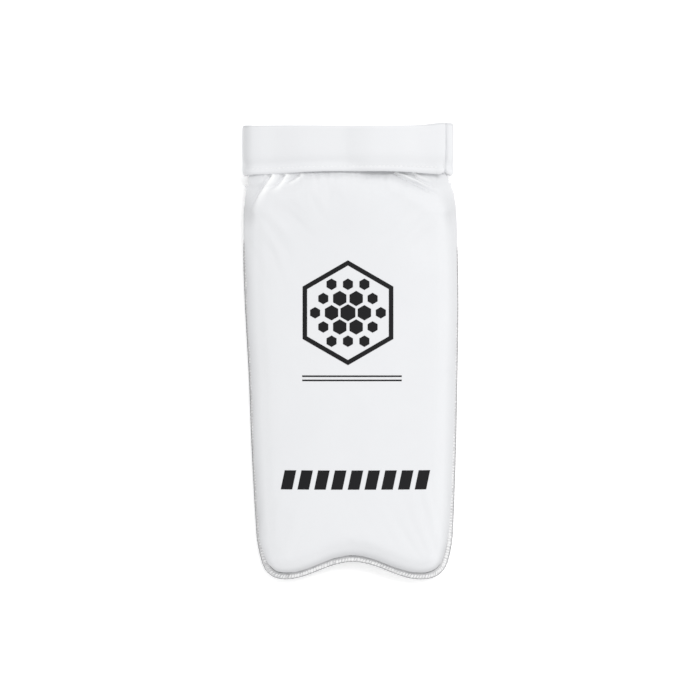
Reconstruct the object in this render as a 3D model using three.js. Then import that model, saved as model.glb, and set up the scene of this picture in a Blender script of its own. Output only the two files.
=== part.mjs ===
// Cricket forearm guard: a padded shell bound with tape round its rim, with a wide strap wrapped
// round the elbow end and closed on itself. It lies face up, its elbow end towards +Y.
// Millimetres, +Z up. The parts are modelled with y = 0 at the strap's lower edge, and the whole
// is then centred on the origin, with the surface that it lies on at z = 0.
import * as THREE from 'three';
import { mergeVertices } from 'three/addons/utils/BufferGeometryUtils.js';

const { lerp, clamp, smoothstep } = THREE.MathUtils;

// Driving dimensions of the pad
const padWidth = 125; // at its widest, a fifth of the way down
const padLength = 234; // from the strap's lower edge to the tips of the wrist lobes
const padThickness = 15; // filling and cover, away from the rim
const archHeight = 10; // hollow of the back, that the forearm lies in
const rimRun = 9; // plan width of the rounded front edge
const shoulderDrop = 19; // how far the filling's corners lie below the strap
const shoulderRun = 11; // length over which the filling rises from its top edge
const shoulderGap = 1.5; // between the strap's lower edge and the start of that rise
const shoulderFrom = 0.42; // share of the half width where the filling's top edge starts to fall
const shoulderPower = 1.3; // of the curve that it falls on
const puffShare = 0.36; // of the rise that the empty cover keeps outside the shoulders
const puffRun = 9; // length over which it swells out from under the strap
const leastRise = 1; // of the cover over its foot beside the tape
const notchDepth = 10.6; // of the wrist edge between its two lobes
const lobeSpread = 80; // between the tips of the lobes
const cornerFullness = 2.5; // power of the rounded corners: 2 is an ellipse
const lobeShift = 1.2; // of the notch, to the right of the pad's middle
const cornerHeight = 21; // of the rounded wrist corners
const liftRun = 42; // length over which the pad climbs onto the strap behind it

// Driving dimensions of the pad's end inside the strap
const tuckedThickness = 9; // in the middle
const tuckedEdgeThickness = 5.5; // at the sides
const tuckedLength = 25.5; // from the strap's lower edge to the pad's end
const tuckedCorner = 9; // width of the end's rounded corners
const thinFrom = 0.4; // share of the half width where the end starts to thin out
const tuckRelief = 4.2; // between the strap's fold and the tape, at each side

// Driving dimensions of the seam flange and of the tape folded over it
const flangeThickness = 1;
const flangeReach = 3;
const tapeWall = 1;
const tapeRound = 0.9; // of the tape's outer corners

// Driving dimensions of the strap and its closure
const strapWidth = 121.2; // across the loop, over its folds
const strapShift = -1.5; // of the loop's middle from the pad's middle
const strapHeight = 28.4;
const strapThickness = 2.6;
const strapOverlap = 48; // of the hidden end under the front, from the right fold
const strapStep = 16; // length over which the front climbs onto the hidden end
const strapEndInset = 5; // of the free end from the right fold
const strapSlack = 1; // between the pad's end and the strap over it
const endRoundRun = 3; // of the free end's rounded lower corner
const endRoundRise = 2.4;
const shoulderInset = 17; // of the folds' start from their outermost line
const patchThickness = 1.2;
const patchMargin = 3.5; // of the closure inside the overlap
const patchGap = 0.5; // between the closure and each layer of the strap

const clearance = 0.3; // between pieces that rest on each other

// What follows from them
const halfWidth = padWidth / 2;
const tapeWidth = tapeWall + clearance + flangeReach;
const tapeHeight = flangeThickness + 2 * (clearance + tapeWall);
const slotLow = tapeWall;
const slotHigh = tapeHeight - tapeWall;
const flangeLow = slotLow + clearance;
const flangeHigh = slotHigh - clearance;
const seamInset = tapeWidth + clearance; // of the cover's foot from the tape's outer edge
const neckHeight = tapeHeight + clearance; // where the cover may lean out over the tape
const plateauInset = seamInset + rimRun;
const strapLeft = strapShift - strapWidth / 2;
const strapRight = strapShift + strapWidth / 2;
const tuckedLeft = -strapLeft - strapThickness - tuckRelief;
const tuckedRight = strapRight - strapThickness - tuckRelief;
const overlapGap = patchThickness + 2 * patchGap;

// Half widths down the sides, as shares of half the pad's width, at shares of its length.
// cover is the bulging cover's silhouette, and tape the tape's outer edge.
const tucked = {
  coverLeft: (tuckedLeft - tapeWidth) / halfWidth,
  coverRight: (tuckedRight - tapeWidth) / halfWidth,
  tapeLeft: tuckedLeft / halfWidth,
  tapeRight: tuckedRight / halfWidth,
};
const sideRows = [
  { down: 0, ...tucked },
  { down: 0.006, coverLeft: 0.925, coverRight: 0.875, tapeLeft: 0.892, tapeRight: 0.844 },
  { down: 0.03, coverLeft: 0.965, coverRight: 0.922, tapeLeft: 0.915, tapeRight: 0.868 },
  { down: 0.066, coverLeft: 0.984, coverRight: 0.97, tapeLeft: 0.958, tapeRight: 0.93 },
  { down: 0.13, coverLeft: 0.996, coverRight: 0.988, tapeLeft: 0.985, tapeRight: 0.98 },
  { down: 0.2, coverLeft: 0.99, coverRight: 0.991, tapeLeft: 0.995, tapeRight: 0.994 },
  { down: 0.35, coverLeft: 0.97, coverRight: 0.99, tapeLeft: 0.973, tapeRight: 1 },
  { down: 0.5, coverLeft: 0.935, coverRight: 0.976, tapeLeft: 0.941, tapeRight: 0.99 },
  { down: 0.65, coverLeft: 0.914, coverRight: 0.958, tapeLeft: 0.921, tapeRight: 0.98 },
  { down: 0.8, coverLeft: 0.88, coverRight: 0.93, tapeLeft: 0.892, tapeRight: 0.962 },
  { down: 0.91, coverLeft: 0.845, coverRight: 0.89, tapeLeft: 0.866, tapeRight: 0.944 },
  { down: 1, coverLeft: 0.8, coverRight: 0.86, tapeLeft: 0.845, tapeRight: 0.93 },
];

// Folds of the cover that run down from the strap. across is a share of half the pad's width,
// below and width are shares of the shoulders' drop, and depth is a share of the pad's
// thickness: negative for a crease, positive for a ridge.
const foldRows = [
  { fromAcross: -0.755, fromBelow: 0, toAcross: -0.94, toBelow: 0.95, depth: -0.1, width: 0.14 },
  { fromAcross: -0.69, fromBelow: 0, toAcross: -0.88, toBelow: 0.62, depth: 0.07, width: 0.14 },
  { fromAcross: -0.62, fromBelow: 0, toAcross: -0.8, toBelow: 0.48, depth: -0.08, width: 0.13 },
  { fromAcross: -0.49, fromBelow: 0, toAcross: -0.65, toBelow: 0.24, depth: -0.05, width: 0.12 },
  { fromAcross: 0.43, fromBelow: 0, toAcross: 0.82, toBelow: 0.7, depth: -0.09, width: 0.13 },
  { fromAcross: 0.52, fromBelow: 0, toAcross: 0.84, toBelow: 0.5, depth: 0.07, width: 0.13 },
  { fromAcross: 0.61, fromBelow: 0, toAcross: 0.78, toBelow: 0.34, depth: -0.05, width: 0.13 },
];

// Shares of a fold's length over which it fades in and out at its ends
const foldFadeIn = 0.12;
const foldFadeOut = 0.5;

// The front cover's rounding from its foot to the plateau: rise is a share of the height above
// the foot, out of the bulge over the tape, and inward of the rim's run.
const rimRows = [
  { rise: 0, out: 0, inward: 0 },
  { rise: 0.14, out: 0.7, inward: 0 },
  { rise: 0.38, out: 1, inward: 0.02 },
  { rise: 0.62, out: 0.95, inward: 0.09 },
  { rise: 0.82, out: 0.7, inward: 0.25 },
  { rise: 0.95, out: 0.3, inward: 0.55 },
  { rise: 1, out: 0, inward: 1 },
];

// Where the pad's grid has its lines: steps up to each share.
const acrossSpans = [
  { to: 0.02, steps: 1 },
  { to: 0.12, steps: 4 },
  { to: 0.26, steps: 4 },
  { to: 0.72, steps: 8 },
  { to: 0.88, steps: 5 },
  { to: 0.98, steps: 4 },
  { to: 1, steps: 1 },
];
const downSpans = [
  { to: 0.045, steps: 3 },
  { to: 0.15, steps: 11 },
  { to: 0.88, steps: 12 },
  { to: 1, steps: 4 },
];

// The strap's lower and upper edges along its front, as shares of its height, at shares of the
// loop's half width.
const strapEdgeRows = [
  { across: -1, low: -0.03, top: -0.03 },
  { across: -0.7, low: -0.018, top: -0.03 },
  { across: -0.3, low: 0.018, top: -0.045 },
  { across: 0.2, low: 0.022, top: -0.06 },
  { across: 0.6, low: 0.03, top: -0.045 },
  { across: 0.8, low: 0.012, top: -0.005 },
  { across: 0.92, low: -0.01, top: 0.03 },
  { across: 1, low: -0.03, top: 0 },
];

// The strap's folds, from its front shoulder down to its back run: out is a share of the way
// from the shoulder to the outermost line, up of the shoulder's height over the back run.
const strapFoldRows = [
  { out: 0.55, up: 0.87 },
  { out: 0.87, up: 0.63 },
  { out: 1, up: 0.34 },
  { out: 0.86, up: 0.1 },
  { out: 0.64, up: 0.016 },
  { out: 0.48, up: 0 },
];

// The free end over that fold: inset is from the right fold's outermost line, and lift is over
// the fold's start, in thicknesses of the strap.
const strapEndRows = [
  { inset: 8.3, lift: 1.55 },
  { inset: strapEndInset, lift: 0.72 },
];

// The strap's section: up is a share of its height, outer and inner of half its thickness. The
// outer face has the hem's roll and the hollow of its stitching.
const strapSection = [
  { up: 1, outer: 0.5, inner: -0.5 },
  { up: 0.975, outer: 0.95, inner: -0.95 },
  { up: 0.9, outer: 1, inner: -1 },
  { up: 0.35, outer: 1, inner: -1 },
  { up: 0.2, outer: 0.75, inner: -1 },
  { up: 0.08, outer: 1, inner: -1 },
  { up: 0, outer: 0.5, inner: -0.5 },
];
const patchSection = [
  { up: 1, outer: 1, inner: -1 },
  { up: 0, outer: 1, inner: -1 },
];

// The value in a named column of a table, on a smooth curve through its rows.
function between(rows, key, at, column) {
  const last = rows.length - 1;
  const found = rows.findIndex((row) => row[key] > at);
  const upper = clamp(found < 0 ? last : found, 1, last);
  const rise = (from, to) => (rows[to][column] - rows[from][column]) / (rows[to][key] - rows[from][key]);
  const span = rows[upper][key] - rows[upper - 1][key];
  const share = clamp((at - rows[upper - 1][key]) / span, 0, 1);
  const entry = span * rise(Math.max(upper - 2, 0), upper);
  const exit = span * rise(upper - 1, Math.min(upper + 1, last));
  const straight = lerp(rows[upper - 1][column], rows[upper][column], share);
  const change = rows[upper][column] - rows[upper - 1][column];
  const bend = (1 - share) * (entry - change) - share * (exit - change);
  return straight + share * (1 - share) * bend;
}

// Shares from 0 to 1, in the steps that each span gives.
function sharesOf(spans) {
  const shares = [0];
  for (const { to, steps } of spans) {
    const from = shares[shares.length - 1];
    for (let step = 1; step <= steps; step += 1) shares.push(lerp(from, to, step / steps));
  }
  return shares;
}

// A closed solid from sheets of points: each sheet is rows of points, and faces out where its
// rows run clockwise about what they enclose.
function solid(...sheets) {
  const positions = [];
  const triangle = (...corners) => corners.forEach((corner) => positions.push(...corner));
  for (const rows of sheets) {
    for (let j = 0; j + 1 < rows.length; j += 1) {
      for (let i = 0; i + 1 < rows[j].length; i += 1) {
        const [a, b, c, d] = [rows[j][i], rows[j][i + 1], rows[j + 1][i + 1], rows[j + 1][i]];
        triangle(a, d, c);
        triangle(a, c, b);
      }
    }
  }
  const geometry = new THREE.BufferGeometry();
  geometry.setAttribute('position', new THREE.Float32BufferAttribute(positions, 3));
  const merged = mergeVertices(geometry, 1e-4);
  merged.computeVertexNormals();
  return merged;
}

// How far the tape's outer edge lies from the middle, on the side that x is on.
function tapeReach(x, y) {
  return halfWidth * between(sideRows, 'down', -y / padLength, x < 0 ? 'tapeLeft' : 'tapeRight');
}

// How far the cover's silhouette lies inside the tape's outer edge: negative where it bulges past.
function coverInset(x, y) {
  const columns = x < 0 ? ['tapeLeft', 'coverLeft'] : ['tapeRight', 'coverRight'];
  const [tape, cover] = columns.map((column) => between(sideRows, 'down', -y / padLength, column));
  return halfWidth * (tape - cover);
}

// A corner's share: 0 inside it, 1 at the side, by how far x lies between them.
function cornerShare(x, from, side) {
  return clamp((Math.abs(x) - from) / (side - from), 0, 1);
}

const quarter = (share) => 1 - (1 - share ** cornerFullness) ** (1 / cornerFullness);

// The wrist edge: a hump between two lobes, and a rounded corner outside each.
function wristEdge(x, inset) {
  const fromNotch = x - lobeShift;
  const side = tapeReach(x, cornerHeight - padLength) - Math.sign(x) * lobeShift - inset;
  const share = cornerShare(fromNotch, lobeSpread / 2, side);
  const hump = 0.5 + 0.5 * Math.cos(Math.PI * clamp(fromNotch / (lobeSpread / 2), -1, 1));
  return inset - padLength + notchDepth * hump + (cornerHeight - inset) * quarter(share);
}

// The end inside the strap, straight but for its rounded corners.
function elbowEdge(x, inset) {
  const side = tapeReach(x, tuckedLength) - inset;
  const corner = Math.max(tuckedCorner, inset / 2);
  return tuckedLength - inset - corner * quarter(cornerShare(x, side - corner, side)) / 2;
}

// A point of the plan: across runs from 0 at the left to 1 at the right, down from 0 at the
// elbow end to 1 at the wrist, within the tape's outer edge less an inset.
function planPoint(across, down, inset, sideInset = inset) {
  const reachAt = (y, less) => lerp(less - tapeReach(-1, y), tapeReach(1, y) - less, across);
  const top = elbowEdge(reachAt(tuckedLength, inset), inset);
  const bottom = wristEdge(reachAt(cornerHeight - padLength, inset), inset);
  const y = lerp(top, bottom, down);
  return new THREE.Vector2(reachAt(y, sideInset), y);
}

// The surface under the tape: arched over the forearm, and lifted where it crosses the strap.
function baseHeight(x, y) {
  const lift = (strapThickness + clearance) * smoothstep(y, -liftRun, 0);
  const share = Math.min(Math.abs(x) / (tapeReach(x, y) - tapeRound), 1);
  return lift + archHeight * (1 - share * share);
}

function strapEdge(x, column) {
  const across = (x - strapShift) / (strapWidth / 2);
  return strapHeight * between(strapEdgeRows, 'across', clamp(across, -1, 1), column);
}

function foldHeight(x, y) {
  let height = 0;
  for (const row of foldRows) {
    const from = new THREE.Vector2(row.fromAcross * halfWidth, -row.fromBelow * shoulderDrop);
    const to = new THREE.Vector2(row.toAcross * halfWidth, -row.toBelow * shoulderDrop);
    const run = to.clone().sub(from);
    const offset = new THREE.Vector2(x, y).sub(from);
    const share = offset.dot(run) / run.lengthSq();
    const aside = offset.cross(run) / run.length() / (row.width * shoulderDrop);
    const fade = smoothstep(share, -foldFadeIn, 0) * (1 - smoothstep(share, 1 - foldFadeOut, 1));
    height += row.depth * padThickness * fade * Math.exp(-aside * aside);
  }
  return height;
}

// Thickness of the pad's end inside the strap.
function tuckedHeight(share) {
  return lerp(tuckedThickness, tuckedEdgeThickness, smoothstep(share, thinFrom, 1));
}

// Thickness of the pad: its filling ends in rounded shoulders below the strap.
function padHeight({ x, y }) {
  const share = Math.min(Math.abs(x) / tapeReach(x, y), 1);
  const below = strapEdge(x, 'low') - shoulderGap - y;
  const fallen = clamp((share - shoulderFrom) / (1 - shoulderFrom), 0, 1);
  const shoulder = shoulderDrop * fallen ** shoulderPower;
  const rise = clamp((below - shoulder) / shoulderRun, 0, 1);
  const puff = puffShare * smoothstep(below, 0, puffRun);
  const filled = Math.max(Math.sqrt(1 - (1 - rise) ** 2), puff);
  const folds = foldHeight(x, y) * smoothstep(below, 0, shoulderGap);
  return Math.max(lerp(tuckedHeight(share), padThickness, filled) + folds, neckHeight + leastRise);
}

const raised = ({ x, y }, height) => new THREE.Vector3(x, y, baseHeight(x, y) + height);

// The lines of the pad's grid, and the loop of places round its border, counter-clockwise.
const acrossShares = sharesOf(acrossSpans);
const downShares = sharesOf(downSpans);
const border = [
  ...downShares.map((down) => [0, down]),
  ...acrossShares.slice(1).map((across) => [across, 1]),
  ...downShares.slice(0, -1).reverse().map((down) => [1, down]),
  ...acrossShares.slice(0, -1).reverse().map((across) => [across, 0]),
];

function padGeometry() {
  // The bulge fades out round the corners, because the cover stays inside the tape at the ends.
  const bulgeInset = ([across, down]) => {
    const { x, y } = planPoint(across, down, seamInset);
    const from = down === 0 ? 0.9 * tapeReach(x, y) : lobeSpread / 2;
    const side = cornerShare(x, from, tapeReach(x, y) - seamInset);
    return lerp(seamInset, coverInset(x, y), side);
  };
  const rim = rimRows.map(({ rise, out, inward }) => border.map((place) => {
    const inset = seamInset + inward * rimRun;
    const bulge = out * (seamInset - bulgeInset(place));
    const point = planPoint(...place, inset, inset - bulge);
    return raised(point, lerp(neckHeight, padHeight(point), rise));
  })).reverse();
  const loopAt = (inset, height) => border.map((place) => raised(planPoint(...place, inset), height));
  const flange = [
    loopAt(seamInset, flangeHigh),
    loopAt(seamInset - flangeReach, flangeHigh),
    loopAt(seamInset - flangeReach, flangeLow),
    loopAt(seamInset, flangeLow),
    loopAt(plateauInset, flangeLow),
  ];
  const sheetAt = (heightOf) => downShares.map((down) => acrossShares.map((across) => {
    const point = planPoint(across, down, plateauInset);
    return raised(point, heightOf(point));
  }));
  const back = sheetAt(() => flangeLow).map((row) => row.reverse());
  return solid(sheetAt(padHeight), [...rim, ...flange], back);
}

// The tape's section, clockwise: inset is from its outer edge.
function tapeGeometry() {
  const section = [
    { inset: tapeWidth, height: tapeHeight },
    { inset: tapeRound, height: tapeHeight },
    { inset: tapeRound / 4, height: tapeHeight - tapeRound / 2 },
    { inset: 0, height: tapeHeight / 2 },
    { inset: tapeRound / 4, height: tapeRound / 2 },
    { inset: tapeRound, height: 0 },
    { inset: tapeWidth, height: 0 },
    { inset: tapeWidth, height: slotLow },
    { inset: tapeWall, height: slotLow },
    { inset: tapeWall, height: slotHigh },
    { inset: tapeWidth, height: slotHigh },
  ];
  const loops = section.map(({ inset, height }) => border.map((place) => (
    raised(planPoint(...place, inset), height)
  )));
  return solid([...loops, loops[0]]);
}

// Where the strap's middle line runs over the pad: on it, or on the hidden end and its closure.
function overPad(x, layers) {
  const middle = strapHeight / 2;
  const share = Math.min(Math.abs(x) / tapeReach(x, middle), 1);
  const onPad = baseHeight(x, middle) + tuckedHeight(share) + strapSlack + strapThickness / 2;
  return onPad + layers * (strapThickness + overlapGap);
}

// The strap's middle line round the loop, from its hidden end to its free end.
function strapLine() {
  const backRun = strapThickness / 2;
  const sides = [strapLeft, strapRight].map((edge) => edge - Math.sign(edge) * strapThickness / 2);
  const shoulders = [strapLeft, strapRight].map((edge) => edge - Math.sign(edge) * shoulderInset);
  const hiddenEnd = strapRight - strapOverlap;
  const fold = (side) => strapFoldRows.map(({ out, up }) => ({
    x: lerp(shoulders[side], sides[side], out),
    z: lerp(backRun, overPad(shoulders[side], 0), up),
  }));
  const front = (x, layers) => ({ x, z: overPad(x, layers) });
  const hidden = [0, 0.25, 0.5, 0.75, 1].map((share) => front(lerp(hiddenEnd, shoulders[1], share), 0));
  const back = [0.78, 0.74, 0.37, 0, -0.37, -0.74, -0.78].map((share) => (
    { x: strapShift + share * strapWidth / 2, z: backRun }
  ));
  const left = [1, 0.8, 0.6, 0.4, 0.2].map((share) => front(lerp(0, shoulders[0], share), 0));
  const step = [0.15, 0.5, 1].map((share) => (
    front(hiddenEnd - strapStep * (1 - share), smoothstep(share, 0, 1))
  ));
  const top = [0.25, 0.5, 0.75, 1].map((share) => front(lerp(hiddenEnd, shoulders[1], share), 1));
  const foldStart = fold(1)[0].z;
  const end = strapEndRows.map(({ inset, lift }) => (
    { x: strapRight - inset, z: foldStart + lift * strapThickness }
  ));
  return [...hidden, ...fold(1), ...back, ...fold(0).reverse(), ...left, ...step, ...top, ...end];
}

// A strip of cloth along a line of points across the guard, between a lower and an upper edge.
function stripGeometry(line, edgesOf, section, thickness, steps) {
  const curve = new THREE.CatmullRomCurve3(line.map(({ x, z }) => new THREE.Vector3(x, 0, z)), false, 'centripetal');
  const count = (line.length - 1) * steps;
  const stations = Array.from({ length: count + 1 }, (_, station) => {
    const middle = curve.getPoint(station / count);
    middle.setZ(Math.max(middle.z, thickness / 2)); // never below what the guard lies on
    const tangent = curve.getTangent(station / count);
    return { middle, outward: new THREE.Vector3(-tangent.z, 0, tangent.x), ...edgesOf(middle, station / count) };
  });
  const sheetOf = (face) => section.map((row) => stations.map(({ middle, outward, low, top }) => (
    middle.clone().addScaledVector(outward, row[face] * thickness / 2).setY(lerp(low, top, row.up))
  )));
  const outer = sheetOf('outer');
  const inner = sheetOf('inner');
  const capAt = (station) => outer.map((row, place) => [inner[place][station], row[station]]);
  const finish = capAt(count).map((pair) => pair.reverse());
  return solid([...outer, ...inner.toReversed(), outer[0]], capAt(0), finish);
}

function strapGeometry() {
  const freeEnd = strapRight - strapEndInset;
  const edges = ({ x, z }, share) => {
    const isFront = z > strapThickness;
    const ease = isFront ? 1 : 0.5; // the edges run straighter behind
    const isEnd = share > 0.9;
    const round = isEnd ? quarter(clamp((x - freeEnd) / endRoundRun + 1, 0, 1)) : 0;
    return {
      low: ease * strapEdge(x, 'low') + round * endRoundRise,
      top: ease * strapEdge(x, 'top') + strapHeight,
    };
  };
  return stripGeometry(strapLine(), edges, strapSection, strapThickness, 2);
}

function patchGeometry() {
  const from = strapRight - strapOverlap + patchMargin;
  const to = strapRight - shoulderInset - patchMargin;
  const lift = (strapThickness + overlapGap) / 2;
  const line = [0, 0.25, 0.5, 0.75, 1].map((share) => {
    const x = lerp(from, to, share);
    return { x, z: overPad(x, 0) + lift };
  });
  const edges = () => ({ low: patchMargin, top: strapHeight - patchMargin });
  return stripGeometry(line, edges, patchSection, patchThickness, 2);
}

function piece(name, geometry, colour, roughness) {
  const material = new THREE.MeshStandardMaterial({ color: colour, roughness, metalness: 0 });
  const mesh = new THREE.Mesh(geometry, material);
  mesh.name = name;
  return mesh;
}

const guard = new THREE.Group();
guard.add(
  piece('guard_pad', padGeometry(), 0xeeeff1, 0.7),
  piece('edge_binding', tapeGeometry(), 0xdcdcda, 0.8),
  piece('elbow_strap', strapGeometry(), 0xedeef0, 0.75),
  piece('closure_patch', patchGeometry(), 0xe6e6e4, 0.9),
);

const box = new THREE.Box3().setFromObject(guard);
const middle = box.getCenter(new THREE.Vector3());
guard.position.set(-middle.x, -middle.y, -box.min.z);

export default guard;
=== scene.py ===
# Cricket forearm guard: padded cover, stitched rim tape, elbow strap with its closure, and prints.
import bpy
import bmesh
import math
import random
from mathutils import Matrix, Vector, noise
from mathutils.bvhtree import BVHTree


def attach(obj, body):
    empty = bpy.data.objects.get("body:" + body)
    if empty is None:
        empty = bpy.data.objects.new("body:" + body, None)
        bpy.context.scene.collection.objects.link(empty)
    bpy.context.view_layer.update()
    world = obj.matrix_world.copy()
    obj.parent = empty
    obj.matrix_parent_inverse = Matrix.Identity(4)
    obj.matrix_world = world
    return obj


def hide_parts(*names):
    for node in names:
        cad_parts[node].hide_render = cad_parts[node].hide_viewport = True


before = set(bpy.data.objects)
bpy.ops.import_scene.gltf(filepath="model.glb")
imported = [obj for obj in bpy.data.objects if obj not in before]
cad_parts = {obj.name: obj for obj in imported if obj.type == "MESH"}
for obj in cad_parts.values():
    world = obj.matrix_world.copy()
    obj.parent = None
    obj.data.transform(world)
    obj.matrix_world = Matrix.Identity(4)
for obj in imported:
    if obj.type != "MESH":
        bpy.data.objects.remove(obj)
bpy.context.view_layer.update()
print("stage: frame loaded")

mm = 0.001
up = Vector((0, 0, 1))


# small helpers

def clamp(value, low=0.0, high=1.0):
    return max(low, min(high, value))


def ease(value, start, stop):
    share = clamp((value - start) / (stop - start))
    return share * share * (3 - 2 * share)


def bell(distance, width):
    return math.exp(-((distance / width) ** 2))


def nodeMesh(nodeName, quads=True):
    made = bmesh.new()
    made.from_mesh(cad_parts[nodeName].data)
    bmesh.ops.remove_doubles(made, verts=made.verts, dist=0.01 * mm)
    if quads:
        bmesh.ops.join_triangles(made, faces=made.faces,
                                 angle_face_threshold=1.2, angle_shape_threshold=1.2)
    return made


def pieceFrom(name, made, material, slotName, *nodes):
    mesh = bpy.data.meshes.new(name)
    made.to_mesh(mesh)
    made.free()
    mesh.shade_smooth()
    mesh.materials.append(material)
    piece = bpy.data.objects.new(name, mesh)
    bpy.context.collection.objects.link(piece)
    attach(piece, "root")
    if nodes:
        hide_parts(*nodes)
    return piece


def applyModifiers(piece):
    bpy.context.view_layer.update()
    shown = piece.evaluated_get(bpy.context.evaluated_depsgraph_get())
    old = piece.data
    piece.data = bpy.data.meshes.new_from_object(shown)
    piece.modifiers.clear()
    bpy.data.meshes.remove(old)
    piece.data.shade_smooth()


def smoothed(made, verts, rounds):
    for _ in range(rounds):
        bmesh.ops.smooth_vert(made, verts=verts, factor=0.5,
                              use_axis_x=True, use_axis_y=True, use_axis_z=True)


def treeOf(piece):
    made = bmesh.new()
    made.from_mesh(piece.data)
    tree = BVHTree.FromBMesh(made)
    made.free()
    return tree


def surfaceAt(tree, x, y, side=1):  # the surface met by a ray from above, or with side -1 from below
    return tree.ray_cast(Vector((x, y, side * 80 * mm)), up * -side)[0]


def smoothLevels(piece, levels):
    rounder = piece.modifiers.new("rounder", "SUBSURF")
    rounder.levels = rounder.render_levels = levels
    applyModifiers(piece)


# shared effects

def newGroup(name, inputs, outputs):
    group = bpy.data.node_groups.new(name, "ShaderNodeTree")
    for label, kind, value in inputs:
        socket = group.interface.new_socket(label, in_out="INPUT", socket_type=kind)
        if value is not None:
            socket.default_value = value
    for label, kind in outputs:
        group.interface.new_socket(label, in_out="OUTPUT", socket_type=kind)
    start = group.nodes.new("NodeGroupInput")
    finish = group.nodes.new("NodeGroupOutput")
    return group, start, finish


def mathNode(tree, operation, first, second, clampIt=False):
    node = tree.nodes.new("ShaderNodeMath")
    node.operation = operation
    node.use_clamp = clampIt
    for index, value in enumerate((first, second)):
        if isinstance(value, (int, float)):
            node.inputs[index].default_value = value
        elif value is not None:
            tree.links.new(value, node.inputs[index])
    return node.outputs[0]


def noiseNode(tree, vector, scale, detail=3.0, roughness=0.55, distortion=0.0):
    node = tree.nodes.new("ShaderNodeTexNoise")
    tree.links.new(vector, node.inputs["Vector"])
    if isinstance(scale, (int, float)):
        node.inputs["Scale"].default_value = scale
    else:
        tree.links.new(scale, node.inputs["Scale"])
    node.inputs["Detail"].default_value = detail
    node.inputs["Roughness"].default_value = roughness
    node.inputs["Distortion"].default_value = distortion
    return node.outputs["Fac"]


def buildGrain():  # pebbled coating: fine cells broken up by noise
    group, start, finish = newGroup(
        "coatGrain",
        [("Vector", "NodeSocketVector", None), ("Size", "NodeSocketFloat", 900.0)],
        [("Height", "NodeSocketFloat")],
    )
    cells = group.nodes.new("ShaderNodeTexVoronoi")
    cells.feature = "SMOOTH_F1"
    cells.inputs["Smoothness"].default_value = 0.6
    group.links.new(start.outputs["Vector"], cells.inputs["Vector"])
    group.links.new(start.outputs["Size"], cells.inputs["Scale"])
    halved = mathNode(group, "MULTIPLY", start.outputs["Size"], 0.45)
    soft = noiseNode(group, start.outputs["Vector"], halved, 4.0)
    both = mathNode(group, "ADD", mathNode(group, "MULTIPLY", cells.outputs["Distance"], 0.7), soft)
    group.links.new(both, finish.inputs["Height"])
    return group


def buildWeave():  # plain weave: threads along two directions, each hiding the other in turn
    group, start, finish = newGroup(
        "threadWeave",
        [("Vector", "NodeSocketVector", None), ("Threads", "NodeSocketFloat", 2200.0)],
        [("Height", "NodeSocketFloat")],
    )
    split = group.nodes.new("ShaderNodeSeparateXYZ")
    group.links.new(start.outputs["Vector"], split.inputs[0])
    slanted = mathNode(group, "ADD", split.outputs[0], split.outputs[2])
    along = mathNode(group, "MULTIPLY", slanted, start.outputs["Threads"])
    across = mathNode(group, "MULTIPLY", split.outputs[1], start.outputs["Threads"])
    warp = mathNode(group, "SINE", along, None)
    weft = mathNode(group, "SINE", across, None)
    woven = mathNode(group, "MULTIPLY", warp, weft)
    height = mathNode(group, "ADD", mathNode(group, "MULTIPLY", woven, 0.5), 0.5)
    group.links.new(height, finish.inputs["Height"])
    return group


def buildHandling():  # soft patches where cloth has been touched, folded and stored
    group, start, finish = newGroup(
        "handledTone",
        [
            ("Vector", "NodeSocketVector", None),
            ("Clean", "NodeSocketColor", (1, 1, 1, 1)),
            ("Handled", "NodeSocketColor", (1, 1, 1, 1)),
            ("Patch", "NodeSocketFloat", 30.0),
            ("Amount", "NodeSocketFloat", 0.5),
        ],
        [("Color", "NodeSocketColor"), ("Mask", "NodeSocketFloat")],
    )
    broad = noiseNode(group, start.outputs["Vector"], start.outputs["Patch"], 5.0, 0.6, 0.4)
    shaped = group.nodes.new("ShaderNodeMapRange")
    shaped.inputs["From Min"].default_value = 0.36
    shaped.inputs["From Max"].default_value = 0.68
    group.links.new(broad, shaped.inputs["Value"])
    mask = mathNode(group, "MULTIPLY", shaped.outputs[0], start.outputs["Amount"])
    mixer = group.nodes.new("ShaderNodeMix")
    mixer.data_type = "RGBA"
    group.links.new(mask, mixer.inputs[0])
    group.links.new(start.outputs["Clean"], mixer.inputs[6])
    group.links.new(start.outputs["Handled"], mixer.inputs[7])
    group.links.new(mixer.outputs[2], finish.inputs["Color"])
    group.links.new(mask, finish.inputs["Mask"])
    return group


grainGroup = buildGrain()
weaveGroup = buildWeave()
handlingGroup = buildHandling()


def tinted(tree, color, label, tint):  # the color, turned to the tint by the mesh's own values of that name
    share = tree.nodes.new("ShaderNodeAttribute")
    share.attribute_name = label
    mixer = tree.nodes.new("ShaderNodeMix")
    mixer.data_type = "RGBA"
    tree.links.new(share.outputs["Fac"], mixer.inputs[0])
    tree.links.new(color, mixer.inputs[6])
    mixer.inputs[7].default_value = tint
    return mixer.outputs[2]


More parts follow.
